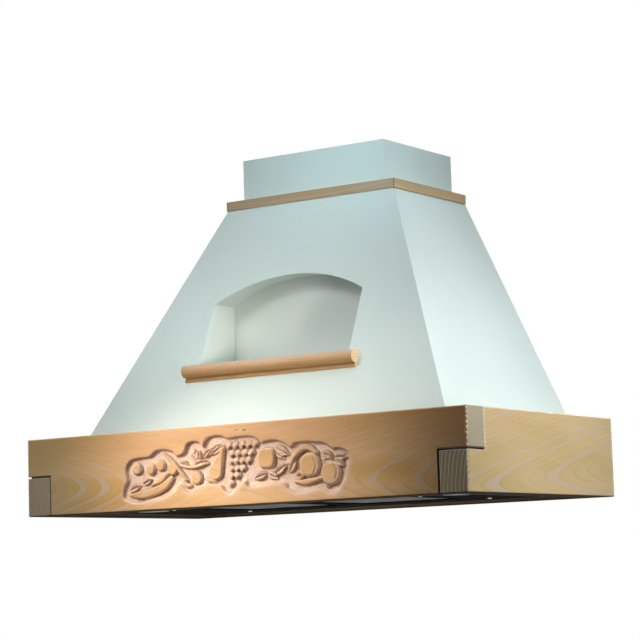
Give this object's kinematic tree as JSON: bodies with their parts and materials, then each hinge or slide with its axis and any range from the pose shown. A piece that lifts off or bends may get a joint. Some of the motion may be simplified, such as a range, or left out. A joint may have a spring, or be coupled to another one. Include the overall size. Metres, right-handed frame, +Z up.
{
  "type": "range hood cover",
  "caption": "Wall-hung wooden range hood cover: limed timber frame with carved fruit and leaves, painted tapered body with an arched niche and shelf rail, chimney stub, extractor inside.",
  "frame": {"origin": "on the wall plane, at the middle of the hood's lower edge", "axes": "X to the right as seen from the front, +Y into the wall, Z up; the front faces -Y"},
  "size_m": [0.9, 0.49, 0.6325],
  "materials": {
    "limed_wood": "satin, limed grain",
    "painted_wood": "satin lacquer, pale grey-green",
    "plain_wood": "sanded, unfinished",
    "black_steel": "satin black",
    "galvanised_steel": "galvanised",
    "zinc_steel": "zinc plated",
    "filter_aluminium": "dark expanded mesh",
    "black_plastic": "fine grained",
    "button_plastic": "satin grey",
    "lamp_glass": "frosted",
    "motor_paint": "satin dark grey",
    "grey_plastic": "moulded grey"
  },
  "bodies": {
    "hood": {"front_beam": "limed_wood", "left_beam": "limed_wood", "right_beam": "limed_wood", "shelf_rail": "limed_wood", "neck_trim_front": "limed_wood", "neck_trim_left": "limed_wood", "neck_trim_right": "limed_wood", "body_front_panel": "painted_wood", "body_left_panel": "painted_wood", "body_right_panel": "painted_wood", "niche_floor": "painted_wood", "niche_left_cheek": "painted_wood", "niche_right_cheek": "painted_wood", "niche_vault": "painted_wood", "niche_back": "painted_wood", "chimney_front": "painted_wood", "chimney_left": "painted_wood", "chimney_right": "painted_wood", "rear_rail": "plain_wood", "lap_dowels": "plain_wood", "ledger_front": "plain_wood", "ledger_left": "plain_wood", "ledger_right": "plain_wood", "deck_front": "plain_wood", "deck_left": "plain_wood", "deck_right": "plain_wood", "corner_batten_left": "plain_wood", "corner_batten_right": "plain_wood", "neck_plate": "plain_wood", "hanging_rail": "plain_wood", "insert_pan": "black_steel", "plenum_case": "galvanised_steel", "fan_casing": "galvanised_steel", "outlet_collar": "galvanised_steel", "motor_bracket": "galvanised_steel", "lamp_housing_left": "galvanised_steel", "lamp_housing_right": "galvanised_steel", "hanger_plates": "zinc_steel", "hanger_screws": "zinc_steel", "pan_screws": "zinc_steel", "damper_spindle": "zinc_steel", "control_box": "black_plastic", "terminal_box": "black_plastic", "lamp_lens_left": "lamp_glass", "lamp_lens_right": "lamp_glass", "motor": "motor_paint"},
    "filter_left": {"filter_left_frame": "black_steel", "filter_left_mesh": "filter_aluminium"},
    "filter_right": {"filter_right_frame": "black_steel", "filter_right_mesh": "filter_aluminium"},
    "latch_left": {"filter_left_latch": "black_plastic"},
    "latch_right": {"filter_right_latch": "black_plastic"},
    "light_button": {"button_light": "button_plastic"},
    "off_button": {"button_off": "button_plastic"},
    "speed_1_button": {"button_speed_1": "button_plastic"},
    "speed_2_button": {"button_speed_2": "button_plastic"},
    "speed_3_button": {"button_speed_3": "button_plastic"},
    "fan": {"fan_wheel": "grey_plastic"},
    "flap_left": {"damper_flap_left": "grey_plastic"},
    "flap_right": {"damper_flap_right": "grey_plastic"}
  },
  "joints": [
    {"name": "filter_left_hinge", "type": "hinge", "parent": "hood", "child": "filter_left", "pos_m": [-0.122, -0.112, 0.0055], "axis": [1, 0, 0], "range_deg": [0, 75]},
    {"name": "latch_left_slide", "type": "slide", "parent": "filter_left", "child": "latch_left", "axis": [0, 1, 0], "range_m": [0, 0.0065], "stiffness_N_per_m": 200, "springref_m": -0.004},
    {"name": "filter_right_hinge", "type": "hinge", "parent": "hood", "child": "filter_right", "pos_m": [0.122, -0.112, 0.0055], "axis": [1, 0, 0], "range_deg": [0, 75]},
    {"name": "latch_right_slide", "type": "slide", "parent": "filter_right", "child": "latch_right", "axis": [0, 1, 0], "range_m": [0, 0.0065], "stiffness_N_per_m": 200, "springref_m": -0.004},
    {"name": "light_button_press", "type": "slide", "parent": "hood", "child": "light_button", "axis": [0, 0, 1], "range_m": [0, 0.0025], "stiffness_N_per_m": 300, "springref_m": -0.002},
    {"name": "off_button_press", "type": "slide", "parent": "hood", "child": "off_button", "axis": [0, 0, 1], "range_m": [0, 0.0025], "stiffness_N_per_m": 300, "springref_m": -0.002},
    {"name": "speed_1_button_press", "type": "slide", "parent": "hood", "child": "speed_1_button", "axis": [0, 0, 1], "range_m": [0, 0.0025], "stiffness_N_per_m": 300, "springref_m": -0.002},
    {"name": "speed_2_button_press", "type": "slide", "parent": "hood", "child": "speed_2_button", "axis": [0, 0, 1], "range_m": [0, 0.0025], "stiffness_N_per_m": 300, "springref_m": -0.002},
    {"name": "speed_3_button_press", "type": "slide", "parent": "hood", "child": "speed_3_button", "axis": [0, 0, 1], "range_m": [0, 0.0025], "stiffness_N_per_m": 300, "springref_m": -0.002},
    {"name": "fan_spin", "type": "hinge", "parent": "hood", "child": "fan", "pos_m": [0, -0.126, 0.092], "axis": [0, 0, 1], "continuous": true},
    {"name": "flap_left_hinge", "type": "hinge", "parent": "hood", "child": "flap_left", "pos_m": [0, -0.126, 0.29], "axis": [0, 1, 0], "range_deg": [0, 75]},
    {"name": "flap_right_hinge", "type": "hinge", "parent": "hood", "child": "flap_right", "pos_m": [0, -0.126, 0.29], "axis": [0, -1, 0], "range_deg": [0, 75]}
  ]
}
